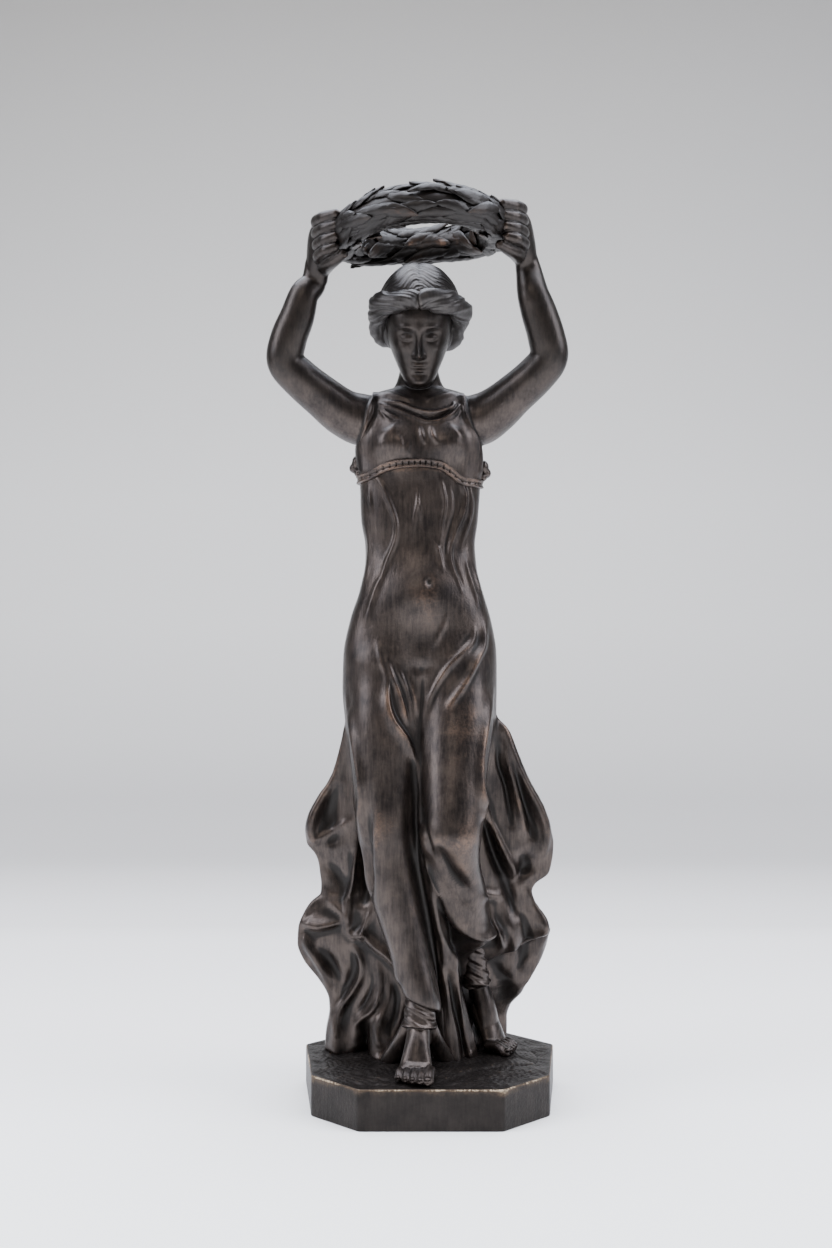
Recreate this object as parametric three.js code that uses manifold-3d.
// Bronze statuette of a young woman in a clinging gown, striding forward and holding a wreath
// over her bowed head, on a low eight-sided bronze plinth. Millimetres, +Z up, she faces -Y.
// The origin is the middle of the plinth's underside.
import * as THREE from 'three';
import { mergeVertices } from 'three/addons/utils/BufferGeometryUtils.js';
import Module from 'manifold-3d';

const wasm = await Module();
wasm.setup();

// Driving dimensions
const FIGURE_HEIGHT = 405; // from the ground to the crown of her hair
const PLINTH_WIDTH = 130; // across the widest part, behind the middle
const PLINTH_FRONT_WIDTH = 117; // across the front pair of side corners
const PLINTH_DEPTH = 105;
const PLINTH_HEIGHT = 20; // at the arris
const CORNER_CUT = 24; // the cut corner, measured along both sides
const GROUND_RISE = 2.4; // how far the modelled ground swells above the arris
const WREATH_RADIUS = 37; // to the middle of the band
const BAND_RADIUS = 7; // of the band under the leaves
const LEAF_LENGTH = 21;
const LEAF_WIDTH = 12;
const LEAF_THICKNESS = 2.2;
const LEAF_SEAT = 0.8; // how deep a leaf's edges sit in the band
const LEAF_TIP_LIFT = 1.6; // how far its tip stands off the band, over the next leaf
const LEAF_STATIONS = 10; // round the band
const HEAD_CLEARANCE = 2.4; // from the crown of the hair to the lowest leaves
const FIT_GAP = 0.3; // between two castings that touch
const GRID = 0.002; // corners of a joined solid lie on this grid

// The tables below are the figure's pose and proportions at a height of 405, and K scales them.
const K = FIGURE_HEIGHT / 405;
const DEG = Math.PI / 180;

const { abs, cos, exp, max, PI, sin, sqrt } = Math;
const bell = (distance, width) => exp(-((distance / width) ** 2));
const step = (x) => THREE.MathUtils.smoothstep(x, 0, 1);

// The larger of two lengths, blended over `soft` where they meet.
function blendedMax(a, b, soft) {
  const near = max(soft - abs(a - b), 0) / soft;
  return max(a, b) + (near * near * soft) / 4;
}

// A smooth curve through rows whose first number says where they lie. It never overshoots a row.
function track(rows) {
  const places = rows.map((row) => row[0]);
  const widths = rows.slice(1).map((row, i) => row[0] - rows[i][0]);
  const slopes = rows.map((row, i) => row.slice(1).map((value, c) => {
    if (i === 0 || i === rows.length - 1) return 0;
    const before = (value - rows[i - 1][c + 1]) / widths[i - 1];
    const after = (rows[i + 1][c + 1] - value) / widths[i];
    return before * after > 0 ? (2 * before * after) / (before + after) : 0;
  }));
  return (place) => {
    const at = THREE.MathUtils.clamp(place, places[0], places[places.length - 1]);
    let i = 0;
    while (i < rows.length - 2 && places[i + 1] < at) i += 1;
    const t = (at - places[i]) / widths[i];
    return rows[i].slice(1).map((value, c) => {
      const rise = (2 * t - 3) * t * t;
      const leave = ((t - 2) * t + 1) * t * widths[i] * slopes[i][c];
      const arrive = (t - 1) * t * t * widths[i] * slopes[i + 1][c];
      return value * (1 + rise) - rows[i + 1][c + 1] * rise + leave + arrive;
    });
  };
}

// A closed skin over rings of points, with a point beyond the first and last ring.
function skin(rings, first, last) {
  const around = rings[0].length;
  const corners = [first, ...rings.flat(), last].flatMap((p) => [p.x, p.y, p.z]);
  const faces = [];
  const at = (ring, i) => 1 + ring * around + (i % around);
  const top = rings.length - 1;
  const end = 1 + rings.length * around;
  for (let i = 0; i < around; i += 1) {
    faces.push(0, at(0, i + 1), at(0, i), end, at(top, i), at(top, i + 1));
    for (let ring = 0; ring < top; ring += 1) {
      faces.push(at(ring, i), at(ring, i + 1), at(ring + 1, i + 1));
      faces.push(at(ring, i), at(ring + 1, i + 1), at(ring + 1, i));
    }
  }
  const geometry = new THREE.BufferGeometry();
  geometry.setAttribute('position', new THREE.Float32BufferAttribute(corners, 3));
  geometry.setIndex(faces);
  return geometry;
}

// A limb along a curve through knots of [x, y, z, half width, half depth], with blunt ends.
// `across` is the direction that the half width is measured in.
function limb(knots, around, steps, across = new THREE.Vector3(1, 0, 0)) {
  const spine = new THREE.CatmullRomCurve3(knots.map(([x, y, z]) => new THREE.Vector3(x, y, z)));
  const girth = new THREE.CatmullRomCurve3(
    knots.map(([, , , wide, deep = wide]) => new THREE.Vector3(wide, deep, 0)),
  );
  const rings = [];
  for (let ring = 0; ring <= steps; ring += 1) {
    const t = ring / steps;
    const centre = spine.getPoint(t);
    const along = spine.getTangent(t);
    const [wide, deep] = girth.getPoint(t).toArray();
    const side = across.clone().addScaledVector(along, -across.dot(along)).normalize();
    const front = along.clone().cross(side);
    rings.push(Array.from({ length: around }, (_, i) => {
      const angle = (2 * PI * i) / around;
      return centre.clone()
        .addScaledVector(side, wide * cos(angle))
        .addScaledVector(front, deep * sin(angle));
    }));
  }
  const bluntness = 0.55;
  const beyond = (t, sign) => spine.getPoint(t)
    .addScaledVector(spine.getTangent(t), sign * bluntness * girth.getPoint(t).x);
  return skin(rings, beyond(0, -1), beyond(1, 1));
}

function solidOf(geometry) {
  const bare = new THREE.BufferGeometry();
  bare.setAttribute('position', geometry.getAttribute('position'));
  bare.setIndex(geometry.getIndex());
  const merged = mergeVertices(bare, 1e-4);
  const corners = merged.getIndex().array;
  const kept = [];
  for (let i = 0; i < corners.length; i += 3) {
    const [a, b, c] = corners.slice(i, i + 3);
    if (a !== b && b !== c && c !== a) kept.push(a, b, c);
  }
  return new wasm.Manifold(new wasm.Mesh({
    numProp: 3,
    vertProperties: merged.getAttribute('position').array,
    triVerts: new Uint32Array(kept),
  }));
}

// The solid's skin with corners on a fine grid. Slivers narrower than the grid close up, and two
// faces that come to lie back to back cancel out.
function geometryOf(solid) {
  const mesh = solid.getMesh();
  const snapped = mesh.vertProperties.map((value) => Math.round(value / GRID) * GRID);
  const loose = new THREE.BufferGeometry();
  loose.setAttribute('position', new THREE.BufferAttribute(snapped, 3));
  loose.setIndex(new THREE.BufferAttribute(mesh.triVerts, 1));
  const geometry = mergeVertices(loose, GRID / 4);
  const corners = geometry.getIndex().array;
  const faces = new Map();
  for (let i = 0; i < corners.length; i += 3) {
    const face = Array.from(corners.slice(i, i + 3));
    const key = [...face].sort((a, b) => a - b).join();
    if (new Set(face).size < 3) continue;
    if (faces.has(key)) faces.delete(key);
    else faces.set(key, face);
  }
  geometry.setIndex([...faces.values()].flat());
  return geometry;
}

const joined = (geometries) => geometries.map(solidOf).reduce((whole, next) => whole.add(next));

// The outer skin of the largest body: bubbles shut in between joined pieces are filled with metal.
const castSolid = (solid) => solid.decompose()
  .reduce((largest, next) => (next.volume() > largest.volume() ? next : largest));

// Plinth: corners in order, seen from above, from the right end of the front edge
function plinthCorners() {
  const half = PLINTH_DEPTH / 2;
  const front = PLINTH_FRONT_WIDTH / 2;
  const rear = PLINTH_WIDTH / 2;
  const right = [
    [front - CORNER_CUT, -half],
    [front, -half + CORNER_CUT],
    [rear, half - CORNER_CUT],
    [rear - CORNER_CUT, half],
  ];
  return [...right, ...right.map(([x, y]) => [-x, y]).reverse()];
}

// The ground is flat round the arris and swells gently towards the middle. `inward` is 0 at the
// arris and 1 in the middle.
const groundHeight = (inward) => GROUND_RISE * step(inward / 0.6);

function plinth(lift = 0) {
  const corners = plinthCorners();
  const perSide = 3;
  const outline = corners.flatMap(([x, y], i) => {
    const [nextX, nextY] = corners[(i + 1) % corners.length];
    return Array.from({ length: perSide }, (_, j) => [
      x + ((nextX - x) * j) / perSide,
      y + ((nextY - y) * j) / perSide,
    ]);
  });
  const ring = (share, z) => outline.map(([x, y]) => new THREE.Vector3(x * share, y * share, z + lift));
  const rings = [ring(1, 0)];
  for (const inward of [0, 0.15, 0.3, 0.45, 0.6]) {
    rings.push(ring(1 - inward, PLINTH_HEIGHT + groundHeight(inward)));
  }
  const middle = new THREE.Vector3(0, 0, PLINTH_HEIGHT + GROUND_RISE + lift);
  return skin(rings, new THREE.Vector3(0, 0, lift), middle);
}

// Gown: the body and the cloth drawn tight over it. Each row is a level above the ground with
// the middle [x, y], half width, depth to the front and depth to the back.
const TRUNK = track([
  [-8, 0, 13, 44, 13, 33],
  [0, 0, 13, 44, 13, 33],
  [25, 0, 13, 41, 13, 30],
  [55, -1, 13, 39, 13, 29],
  [85, -2, 12, 37, 13, 27],
  [113, -3, 11, 37, 12, 26],
  [141, -4, 9, 37, 13, 26],
  [157, -4.5, 7, 37.5, 15, 26],
  [172, -4.8, 5, 38.6, 17.5, 27],
  [187, -5.3, 4, 39.3, 20, 27],
  [205, -5.1, 3, 39, 21, 26],
  [223, -4.8, 2, 35.8, 20, 23],
  [238, -4.6, 1, 31, 18.5, 19.5],
  [250, -4.6, 0.5, 28.2, 17, 17.5],
  [260, -5, 0.5, 27.8, 16.3, 16.5],
  [273, -5.3, 0.5, 29.6, 16.6, 16.5],
  [291, -5, 1, 30.6, 17.5, 17.5],
  [299, -5, 1.5, 31, 18.5, 18],
  [309, -5, 2, 31.5, 19, 18.5],
  [319, -5, 2.5, 31.5, 18.5, 18.5],
  [328, -5.2, 3, 30.5, 16.5, 17],
  [335, -5.4, 3.5, 27, 14, 14.5],
  [339, -5.5, 4, 20, 11.5, 12],
  [342, -5.5, 4, 11, 8, 8],
]);

// Legs under the cloth: level, middle [x, y], radius
const RIGHT_LEG = track([
  [20, -3, -21, 8],
  [33, -4, -21, 8.6],
  [60, -11, -17, 10.2],
  [85, -17.5, -14.5, 12.3],
  [104, -21, -13.5, 13],
  [118, -22.5, -12.5, 14.4],
  [145, -22.5, -8, 16.8],
  [172, -22.5, -4, 18.6],
  [200, -22, 1, 19],
]);
const LEFT_LEG = track([
  [36, 28, 20, 7.6],
  [60, 21.5, 6, 10],
  [85, 16, -8, 12],
  [104, 11.6, -18.5, 13],
  [116, 10.5, -22.5, 14.4],
  [128, 11, -20, 15.2],
  [150, 12, -13, 17],
  [172, 13, -6, 18.8],
  [200, 12, 0, 19.4],
]);

// The cloth that spans her legs, as one more soft limb between them
const BETWEEN_LEGS = track([
  [-8, 8, 4, 6],
  [30, 7, 3, 6],
  [60, 4, -3, 6.5],
  [85, 0, -10, 6.5],
  [116, -6, -14, 6.5],
  [150, -3, -12, 7.5],
  [190, -4, -9, 9],
]);

// The blown cloth behind her: level, how far it reaches to her right, her left and the back
const TRAIN = track([
  [-8, -54, 45.5, 32],
  [2.5, -53.8, 45.7, 32],
  [10, -53.3, 45.9, 32],
  [21, -51.2, 47.5, 31],
  [29, -52.3, 50.1, 30],
  [37, -57, 55.7, 31],
  [48, -65.5, 62.5, 33],
  [56, -68.4, 64.8, 34],
  [64, -68, 61.8, 33],
  [72, -65, 56, 31],
  [78, -61, 52.8, 29],
  [82, -56.2, 52.2, 28],
  [87, -56, 54.5, 27.5],
  [92, -56.6, 61.3, 28],
  [98, -57.4, 62.9, 28.5],
  [103, -59.5, 63.6, 29],
  [108, -63.5, 63.8, 29.5],
  [115, -63.8, 62, 30],
  [128, -58.6, 57, 28.5],
  [144, -49.6, 49.5, 27],
  [162, -45, 42.4, 25.5],
  [178, -41, 36, 24],
  [200, -36, 30, 20],
]);

// Soft swellings of the body: distance from the middle, level, height, spread across, spread up,
// and which side of her they are on (1 front, -1 back)
const SWELLINGS = [
  [-13.5, 312, 5.4, 9, 9.5, 1],
  [13.5, 312, 5.4, 9, 9.5, 1],
  [0.5, 236, 4.2, 15, 15, 1],
  [-15, 199, 4, 12, 16, -1],
  [15, 199, 4, 12, 16, -1],
  [-13, 322, 2.2, 9, 11, -1],
  [13, 322, 2.2, 9, 11, -1],
];

// Raised folds seen from the front: [x, level] at the top, the middle and the foot of each one,
// then its height and its half breadth
const FRONT_FOLDS = [
  [[-27, 288], [-19, 255], [-31, 215], 1.8, 2.5],
  [[-6, 280], [-7, 262], [-6, 246], 1.3, 2.4],
  [[10, 288], [8, 262], [12, 235], 1.5, 2.4],
  [[18, 290], [15, 264], [24, 236], 1.8, 2.5],
  [[-27, 200], [-20, 178], [-8, 146], 2.4, 2.5],
  [[-17, 205], [-11, 184], [-4, 158], 1.8, 2.3],
  [[22, 205], [12, 188], [0, 158], 2.2, 2.4],
  [[29, 196], [22, 176], [12, 150], 1.8, 2.6],
  [[-4, 165], [-7, 110], [0, 55], 2, 3],
  [[-1, 90], [4, 50], [8, 4], 2.6, 2.8],
  [[8, 84], [12, 45], [15, 4], 2.6, 2.8],
  [[-38, 150], [-40, 108], [-42, 66], 8, 3.2],
  [[-27, 90], [-34, 45], [-44, 6], 3.4, 4],
  [[-15, 60], [-21, 30], [-30, 2], 3.4, 4],
  [[33, 160], [39, 115], [43, 88], 5, 3.4],
  [[30, 80], [38, 50], [40, 20], 3.5, 4],
];

const foldLine = ([top, middle, foot]) => track([foot, middle, top].map(([x, z]) => [z, x]));
const FOLDS = FRONT_FOLDS.map((fold) => ({
  line: foldLine(fold),
  top: fold[0][1],
  foot: fold[2][1],
  height: fold[3],
  breadth: fold[4],
}));

// How far an ellipse's edge is from its middle in the direction (across, ahead).
function ellipseReach(across, ahead, wide, deep, power = 2.2) {
  return (abs(across / wide) ** power + abs(ahead / deep) ** power) ** (-1 / power);
}

// How far a round limb at (dx, dy) reaches in the direction (across, ahead).
function limbReach(dx, dy, radius, across, ahead) {
  const along = dx * across - dy * ahead;
  const off = sqrt(max(dx * dx + dy * dy - along * along, 0));
  const beside = max(off - radius, 0);
  return along * bell(beside, 4.5) + sqrt(max(radius * radius - off * off, 0));
}

// The hem is open in front of her left heel: up to the pocket's top the cloth stays inside its wall
// and behind its angle, so that her ankle and foot stand free.
const POCKET = { top: 56, wall: 18 };
const pocketAngle = (level) => (112 - 12 * step((level - 14) / 22)) * DEG;

function openedForFoot(reach, angle, level) {
  const inside = step((POCKET.top - level) / 9)
    * step((angle - 32 * DEG) / (10 * DEG))
    * step((pocketAngle(level) - angle) / (6 * DEG));
  const wall = POCKET.wall / max(sin(angle), 0.3);
  return reach + (Math.min(reach, wall) - reach) * inside;
}

// The gown's distance from its middle line at an angle from straight ahead, and at a level.
function gownReach(angle, level) {
  const [middleX, middleY, wide, front, back] = TRUNK(level);
  const across = sin(angle);
  const ahead = cos(angle);
  let reach = ellipseReach(across, ahead, wide, ahead > 0 ? front : back);
  for (const [leg, foot] of [[RIGHT_LEG, 36], [LEFT_LEG, 36], [BETWEEN_LEGS, 0]]) {
    const [x, y, radius] = leg(level);
    const shown = step((level - foot + 16) / 20) * step((252 - level) / 52);
    const legReach = limbReach(x - middleX, y - middleY, radius, across, ahead);
    reach = blendedMax(reach, legReach * shown, 5);
  }
  const [right, left, behind] = TRAIN(level);
  const blown = across < 0 ? middleX - right : left - middleX;
  const pleat = 1 + 0.07 * step((170 - level) / 90) * cos(9 * angle + level / 34);
  const train = ahead > 0
    ? ellipseReach(across, ahead, blown, 13, 1.15)
    : ellipseReach(across, ahead, blown, behind * pleat, 2.2);
  reach = blendedMax(reach, train * step((205 - level) / 40), 5);
  const x = reach * across;
  for (const [off, height, rise, spread, tall, side] of SWELLINGS) {
    const facing = step(side * ahead * 3);
    reach += rise * facing * bell(x - off, spread) * bell(level - height, tall);
  }
  if (ahead > 0) {
    for (const fold of FOLDS) {
      const inside = step((level - fold.foot + 8) / 12) * step((fold.top + 8 - level) / 12);
      reach += fold.height * inside * bell(x + middleX - fold.line(level)[0], fold.breadth);
    }
  }
  const signed = Math.atan2(across, ahead);
  return openedForFoot(reach, signed, level);
}

function gownPoint(angle, level) {
  const [middleX, middleY] = TRUNK(level);
  const reach = gownReach(angle, level);
  return new THREE.Vector3(middleX + reach * sin(angle), middleY - reach * cos(angle), level);
}

// Levels of the gown's rings: close together where the shape turns quickly.
function gownLevels() {
  const levels = [];
  for (let level = -7; level < 340;) {
    levels.push(level);
    if (level < 210) level += 9;
    else if (level < 322) level += 11.6;
    else level += 6;
  }
  return [...levels, 341.5];
}

// Rings are closer together in front, where the folds are.
function gown(around = 43, crowding = 0.4) {
  const rings = gownLevels().map((level) => Array.from({ length: around }, (_, i) => {
    const turn = (2 * PI * i) / around;
    return gownPoint(turn - crowding * sin(turn), level);
  }));
  const [x, y] = TRUNK(0);
  return skin(rings, new THREE.Vector3(x, y, -9), new THREE.Vector3(-5.5, 4, 343));
}

// The narrow girdle under the bust dips towards her sides.
function girdle(around = 24) {
  const rings = [
    [-1.8, -2.5],
    [-1.8, 1.3],
    [1.8, 1.3],
    [1.8, -2.5],
  ].map(([rise, proud]) => Array.from({ length: around }, (_, i) => {
    const angle = (2 * PI * i) / around;
    const level = 297 + 5 * cos(2 * angle) * step(cos(angle) + 0.6) + rise;
    const point = gownPoint(angle, level);
    return point.add(new THREE.Vector3(sin(angle), -cos(angle), 0).multiplyScalar(proud));
  }));
  return skin(rings, new THREE.Vector3(-5, 0, 293), new THREE.Vector3(-5, 0, 300));
}

// Head, in its own frame: level, middle y, half width, depth to the front, depth to the back
const SKULL = track([
  [-27, -9, 4.5, 4.5, 4],
  [-25, -8, 8, 8.5, 7],
  [-21, -6, 11.2, 11.8, 10],
  [-16, -4, 13.2, 14, 13],
  [-8, -1, 15.5, 17, 17],
  [0, 0, 16.8, 18, 19],
  [8, 0, 17.2, 18.8, 20.5],
  [15, 1, 16.4, 17.8, 20],
  [21, 2, 13, 14, 16],
  [25, 2, 7.5, 8.5, 9.5],
]);

// Features of the face: distance from the middle, level, height, spread across, spread up
const FEATURES = [
  [0, -9.6, 3.4, 2.2, 3],
  [0, -4, 2.4, 1.7, 4.5],
  [0, 3, 1.2, 2.2, 4],
  [-6.8, 0.4, -2.2, 3.6, 2.8],
  [6.8, 0.4, -2.2, 3.6, 2.8],
  [-6.8, -0.2, 1.2, 2.3, 1.8],
  [6.8, -0.2, 1.2, 2.3, 1.8],
  [0, -15.6, 1.5, 3.8, 1.6],
  [0, -19.2, 1.3, 3.2, 1.5],
  [0, -25, 1.6, 4, 2.6],
];

function face(around = 20) {
  const levels = [-26.8, -24.5, -21, -18.8, -17, -15, -12, -9.6, -6, -2, 2, 7, 15];
  const rings = levels.map((level) => {
    const [middleY, wide, front, back] = SKULL(level);
    return Array.from({ length: around }, (_, i) => {
      const turn = (2 * PI * i) / around;
      const angle = turn - 0.5 * sin(turn);
      let reach = ellipseReach(sin(angle), cos(angle), wide, cos(angle) > 0 ? front : back, 2.1);
      if (cos(angle) > 0) {
        for (const [off, height, rise, spread, tall] of FEATURES) {
          reach += rise * bell(reach * sin(angle) - off, spread) * bell(level - height, tall);
        }
      }
      return new THREE.Vector3(reach * sin(angle), middleY - reach * cos(angle), level);
    });
  });
  return skin(rings, new THREE.Vector3(0, -9, -27.4), new THREE.Vector3(0, 2, 20));
}

// Hair, in the head's frame: a cap, a thick roll back from the parting on each side, and a knot
function hair() {
  const cap = new THREE.SphereGeometry(1, 14, 9).scale(22, 25.5, 24).translate(0, 3.5, 8.5);
  const knot = new THREE.SphereGeometry(1, 9, 6).scale(12, 9, 10).translate(0, 27, -1);
  const rolls = [-1, 1].map((side) => limb([
    [side * 1, -19.5, 17.5, 4],
    [side * 10, -17.5, 17.5, 5],
    [side * 18.5, -9.5, 14.5, 5.6],
    [side * 20.4, -1, 8, 5.8],
    [side * 17.5, 6, -3, 5.6],
    [side * 8, 18, -9, 5],
  ], 6, 7, new THREE.Vector3(0, 0, 1)));
  return [cap, knot, ...rolls];
}

const HEAD_PLACE = new THREE.Matrix4()
  .makeRotationX(20 * DEG)
  .setPosition(-5.6, -4, 369);

function head() {
  return [face(), ...hair()].map((piece) => piece.applyMatrix4(HEAD_PLACE));
}

const neck = () => limb([
  [-5.5, 5, 326, 17, 10],
  [-5.5, 4.5, 335, 14, 9.5],
  [-5.6, 3, 343, 10.4, 9.4],
  [-5.6, 1, 352, 9.6, 9.6],
  [-5.6, 0, 362, 9.6, 10],
], 10, 4);

// Wreath: where it floats over her head, and how it tips forward and to her right
const WREATH_TILT = new THREE.Euler(-1.5 * DEG, -3.5 * DEG, 0);
const wreathCentre = () => new THREE.Vector3(
  -5.1 * K,
  -25 * K,
  FIGURE_HEIGHT + HEAD_CLEARANCE + LEAF_THICKNESS + BAND_RADIUS,
);
const wreathPlace = () => new THREE.Matrix4()
  .makeRotationFromEuler(WREATH_TILT)
  .setPosition(wreathCentre());

// A point beside the wreath's band: at an angle round the wreath, so far outwards and upwards.
function besideWreath(angle, outwards, upwards) {
  const radius = WREATH_RADIUS + outwards;
  return new THREE.Vector3(radius * cos(angle), radius * sin(angle), upwards)
    .applyMatrix4(wreathPlace());
}

// Where each hand holds the wreath: the angle round it, and the way its fingers point
const GRIPS = {
  right: { side: -1, angle: 188 * DEG, forward: 1 },
  left: { side: 1, angle: -8 * DEG, forward: -1 },
};

// A point of a hand: along the band towards the front, out from it and up from it.
function handPoint(grip, along, outwards, upwards) {
  const angle = grip.angle + (grip.forward * along) / WREATH_RADIUS;
  return besideWreath(angle, outwards, upwards);
}

// Fingers lie along the outside of the band, one above another, and the thumb runs beneath it.
// `grow` thickens the hand all over.
function hand(grip, grow = 0) {
  const palmOut = BAND_RADIUS + 5.6 * K;
  const knot = (along, outwards, upwards, ...girth) => [
    ...handPoint(grip, along * K, outwards, upwards * K).toArray(),
    ...girth.map((value) => value * K + grow),
  ];
  const outward = handPoint(grip, 0, 1, 0).sub(handPoint(grip, 0, 0, 0));
  const palm = limb([
    knot(-9, palmOut + 2.5 * K, -18, 5, 5.4),
    knot(-7, palmOut + 1.6 * K, -11, 4.6, 7.2),
    knot(-4, palmOut + 0.4 * K, -2, 4.2, 8.6),
    knot(-2, palmOut - 0.6 * K, 6, 3.6, 7),
  ], 8, 3, outward);
  const fingers = [9.2, 3.6, -2, -7.4].map((rise, i) => limb([
    knot(-3, palmOut, rise, 2.7, 2.9),
    knot(6, palmOut - 0.2 * K, rise * 0.97, 2.5, 2.7),
    knot(13 - i * 0.4, palmOut - 1.9 * K, rise * 0.9, 2.4, 2.5),
    knot(19 - i * 1.2, palmOut - 4.2 * K, rise * 0.8, 1.9, 2.1),
  ], 6, 3, outward));
  const thumb = limb([
    knot(-4, palmOut - 0.5 * K, -11, 3.2),
    knot(4, palmOut - 4 * K, -12.5, 2.8),
    knot(11, palmOut - 9 * K, -12.2, 2.2),
  ], 6, 2, outward);
  return [palm, ...fingers, thumb];
}

// Arm: the shoulder, the elbow and half the forearm are the pose, and the wrist meets the hand.
const ARMS = {
  right: [
    [-22, 3, 323, 11, 11],
    [-34, 2, 324.5, 13.6, 13.2],
    [-44, -1, 328, 12.6, 12],
    [-54, -6, 335, 10.9, 10.8],
    [-64.5, -11, 343.2, 10.1, 10],
    [-72, -14.5, 351.5, 9.4, 9.4],
    [-70.5, -17, 362, 9.3, 9.2],
    [-66, -19, 373, 8.4, 8.6],
    [-60.5, -21.5, 386, 6.8, 7.2],
  ],
  left: [
    [12, 3, 323, 11, 11],
    [24, 2, 324.5, 13.6, 13.2],
    [33, -1, 329, 12.4, 12],
    [42.5, -6, 336.5, 10.7, 10.6],
    [52.5, -11, 345, 10.1, 10],
    [59, -14.5, 353.5, 9.6, 9.6],
    [57.5, -17, 364, 9.4, 9.3],
    [53.5, -19, 376, 8.7, 8.8],
    [49.5, -21.5, 389, 7.2, 7.6],
  ],
};

function arm(name, grow = 0) {
  const grip = GRIPS[name];
  const wrist = handPoint(grip, -9 * K, BAND_RADIUS + 7.5 * K, -16 * K);
  const knots = ARMS[name].map((knot) => knot.map((value) => value * K));
  knots.push([...wrist.toArray(), 5.2 * K + grow, 5.6 * K + grow]);
  return limb(knots, 10, 11, new THREE.Vector3(0, 1, 0));
}

// A bare foot from the ankle to the toes, which fan out across its end
function foot({ ankle, heel, ball, spread, bigToe }) {
  const up = new THREE.Vector3(0, 0, 1);
  const towards = new THREE.Vector3(ball[0] - heel[0], ball[1] - heel[1], 0).normalize();
  const across = towards.clone().cross(up);
  const shin = limb([
    [...ankle, 7.4, 7.4],
    [(ankle[0] + heel[0]) / 2, (ankle[1] + heel[1]) / 2, ankle[2] * 0.55, 6.6, 6.6],
    [heel[0], heel[1], heel[2] + 5, 6.4, 6.4],
  ], 10, 3, across);
  const sole = limb([
    [...heel, 5.4, 6],
    [
      heel[0] * 0.55 + ball[0] * 0.45,
      heel[1] * 0.55 + ball[1] * 0.45,
      heel[2] * 0.55 + ball[2] * 0.45 + 2.2,
      7, 6.4,
    ],
    [...ball, spread, 4],
  ], 10, 4, across);
  const toes = [-2, -1, 0, 1, 2].map((place) => {
    const size = place === bigToe ? 2.7 : 2;
    const root = new THREE.Vector3(...ball).addScaledVector(across, place * spread * 0.42);
    const tip = root.clone().addScaledVector(towards, 8.6 - 0.6 * abs(place - bigToe));
    return limb([
      [root.x, root.y, root.z, size],
      [tip.x, tip.y, max(root.z - 1.2, 1.2), size * 0.8],
    ], 5, 1, across);
  });
  return [shin, sole, ...toes];
}

const FEET = [
  { ankle: [-5, -20.5, 44], heel: [-5.5, -20, 7.5], ball: [-7.5, -37, 4], spread: 8.4, bigToe: -2 },
  { ankle: [22.5, 12, 62], heel: [24, 22, 17], ball: [34.5, 13, 4.5], spread: 8, bigToe: 2 },
];

// A leaf wrapped on the band: `spot(along, across, proud)` gives a point above the band. Its rings
// are four-sided, swell and close again, and its tip stands off the band.
function leaf(spot) {
  const stations = [
    [0.24, 0.9],
    [0.62, 0.9],
  ];
  const wide = LEAF_WIDTH / 2;
  const lift = (share) => LEAF_TIP_LIFT * share * share - LEAF_SEAT;
  const rings = stations.map(([share, swell]) => [
    [wide * swell, 0],
    [0, -LEAF_THICKNESS * 0.6],
    [-wide * swell, 0],
    [0, LEAF_THICKNESS],
  ].map(([across, proud]) => spot(share * LEAF_LENGTH, across, proud + lift(share))).reverse());
  return skin(rings, spot(0, 0, -LEAF_SEAT), spot(LEAF_LENGTH, 0, lift(1)));
}

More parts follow.
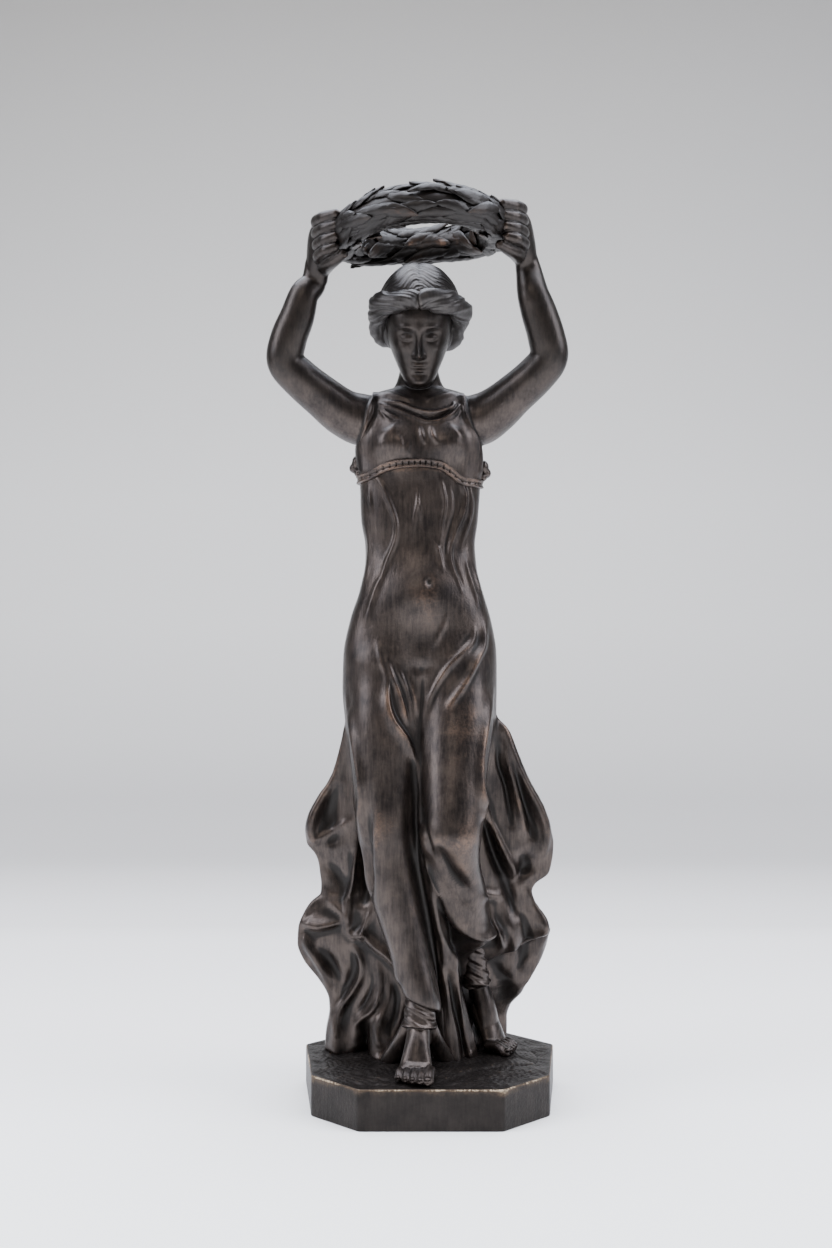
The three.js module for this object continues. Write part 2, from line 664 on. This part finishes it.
// Leaves overlap all round the band in rows, and grow from the back towards the front on both
// sides. Odd rows lie half a leaf further on, and each leaf sways a little.
function leafyRing() {
  const pieces = [new THREE.TorusGeometry(WREATH_RADIUS, BAND_RADIUS, 8, 26)];
  const rows = [100, 22, -56];
  for (let station = 0; station < LEAF_STATIONS; station += 1) {
    rows.forEach((row, r) => {
      const angle = (2 * PI * (station + 0.1 + (r % 2) / 2)) / LEAF_STATIONS + PI / 2;
      const sway = sin(5.3 * station + 2.1 * r);
      const way = cos(angle) < 0 ? 1 : -1;
      const size = 1 + 0.1 * sway;
      const spot = (along, across, proud) => {
        const slanted = across * size + along * 0.22 * sway;
        const tube = row * DEG + (way * slanted) / BAND_RADIUS;
        const turn = angle + (way * along * size) / (WREATH_RADIUS + BAND_RADIUS * cos(tube));
        const radius = WREATH_RADIUS + (BAND_RADIUS + proud) * cos(tube);
        return new THREE.Vector3(
          radius * cos(turn),
          radius * sin(turn),
          (BAND_RADIUS + proud) * sin(tube),
        );
      };
      pieces.push(leaf(spot));
    });
  }
  return pieces.map((piece) => piece.applyMatrix4(wreathPlace()));
}

// The leaves are pressed in where her hands hold the ring.
function wreath() {
  const pressed = Object.entries(GRIPS)
    .map(([name, grip]) => castSolid(joined([arm(name, FIT_GAP), ...hand(grip, FIT_GAP)])))
    .reduce((ring, holding) => ring.subtract(holding), joined(leafyRing()));
  return castSolid(pressed);
}

function figure() {
  const posed = [gown(), girdle(), neck(), ...head(), ...FEET.flatMap(foot)]
    .map((piece) => piece.scale(K, K, K));
  const reaching = [arm('right'), arm('left'), ...hand(GRIPS.right), ...hand(GRIPS.left)];
  const ground = plinth(FIT_GAP - PLINTH_HEIGHT);
  return castSolid(joined([...posed, ...reaching])
    .subtract(solidOf(ground)));
}

// Patinated bronze: near black in the hollows, a warm brown where it has been handled
const bronze = (colour, roughness) => new THREE.MeshStandardMaterial({
  color: colour,
  roughness,
  metalness: 0.7,
});

const statuette = new THREE.Group();
const standing = new THREE.Group();
standing.position.z = PLINTH_HEIGHT;
statuette.add(standing);

function add(parent, name, geometry, material) {
  const mesh = new THREE.Mesh(geometry, material);
  mesh.name = name;
  geometry.computeVertexNormals();
  parent.add(mesh);
}

add(statuette, 'plinth', plinth(), bronze(0x2c2825, 0.5));
add(standing, 'figure', geometryOf(figure()), bronze(0x3a3230, 0.45));
add(standing, 'wreath', geometryOf(wreath()), bronze(0x2f2a28, 0.5));

export default statuette;
